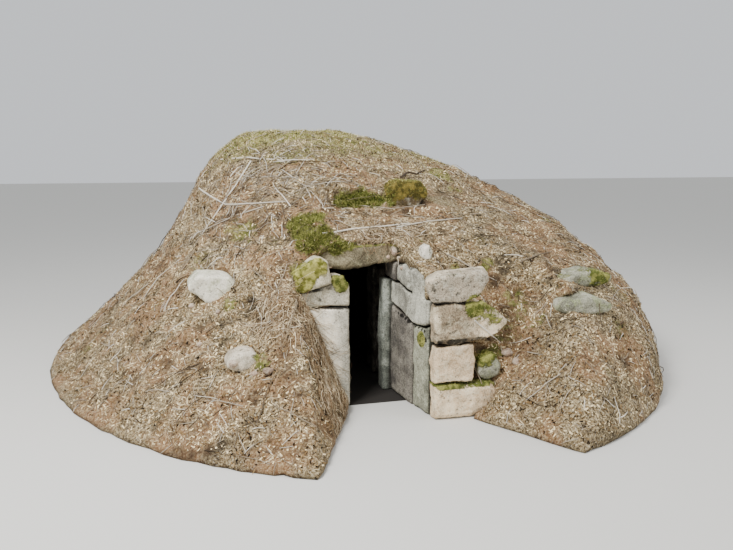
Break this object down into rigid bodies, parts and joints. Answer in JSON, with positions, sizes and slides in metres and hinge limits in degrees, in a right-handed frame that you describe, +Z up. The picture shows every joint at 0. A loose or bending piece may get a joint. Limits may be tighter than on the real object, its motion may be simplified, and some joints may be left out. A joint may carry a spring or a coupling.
{
  "type": "earth-covered stone cellar",
  "caption": "Low earth mound over a slab-roofed stone chamber, entered by a narrow doorway of stacked field stones.",
  "frame": {"origin": "bottom centre of the whole footprint, on the ground at the door sill's level", "axes": "+Z up; the doorway faces -Y; +X to the right seen from in front"},
  "size_m": [7.7, 9.2218, 2.82],
  "materials": {
    "granite": "weathered, rough split",
    "mossy_granite": "weathered, with moss and lichen",
    "earth_and_needle_litter": "matt soil under dry needles, twigs and moss"
  },
  "bodies": {
    "root": {"chamber_left_wall": "granite", "chamber_rear_wall": "granite", "chamber_right_wall": "granite", "entrance_lintel": "granite", "front_wall_header": "granite", "front_wall_left_pier": "granite", "front_wall_right_pier": "granite", "inner_lintel": "granite", "ledge_boulder": "mossy_granite", "ledge_slab": "mossy_granite", "left_jamb_block": "mossy_granite", "left_jamb_capstone": "mossy_granite", "left_jamb_upright": "granite", "left_slope_boulder": "granite", "left_slope_stone": "granite", "mound_crown": "earth_and_needle_litter", "mound_left_flank": "earth_and_needle_litter", "mound_left_shoulder": "earth_and_needle_litter", "mound_over_entry": "earth_and_needle_litter", "mound_rear": "earth_and_needle_litter", "mound_right_flank": "earth_and_needle_litter", "mound_right_shoulder": "earth_and_needle_litter", "passage_left_lower": "granite", "passage_left_upper": "granite", "passage_right_wall": "granite", "right_bank_slab": "granite", "right_bank_stone": "granite", "right_bearing_stone": "granite", "right_jamb_post": "granite", "roof_slab_1": "granite", "roof_slab_2": "granite", "roof_slab_3": "granite", "roof_slab_4": "granite", "roof_slab_5": "granite", "shelf_stone": "granite", "wing_capstone": "granite", "wing_corbel_block": "granite", "wing_foot_boulder": "granite", "wing_low_boulder": "granite", "wing_lower_slab": "granite", "wing_middle_boulder": "mossy_granite", "wing_outer_slab": "granite", "wing_side_stone": "granite", "wing_upper_slab": "granite"}
  },
  "joints": []
}
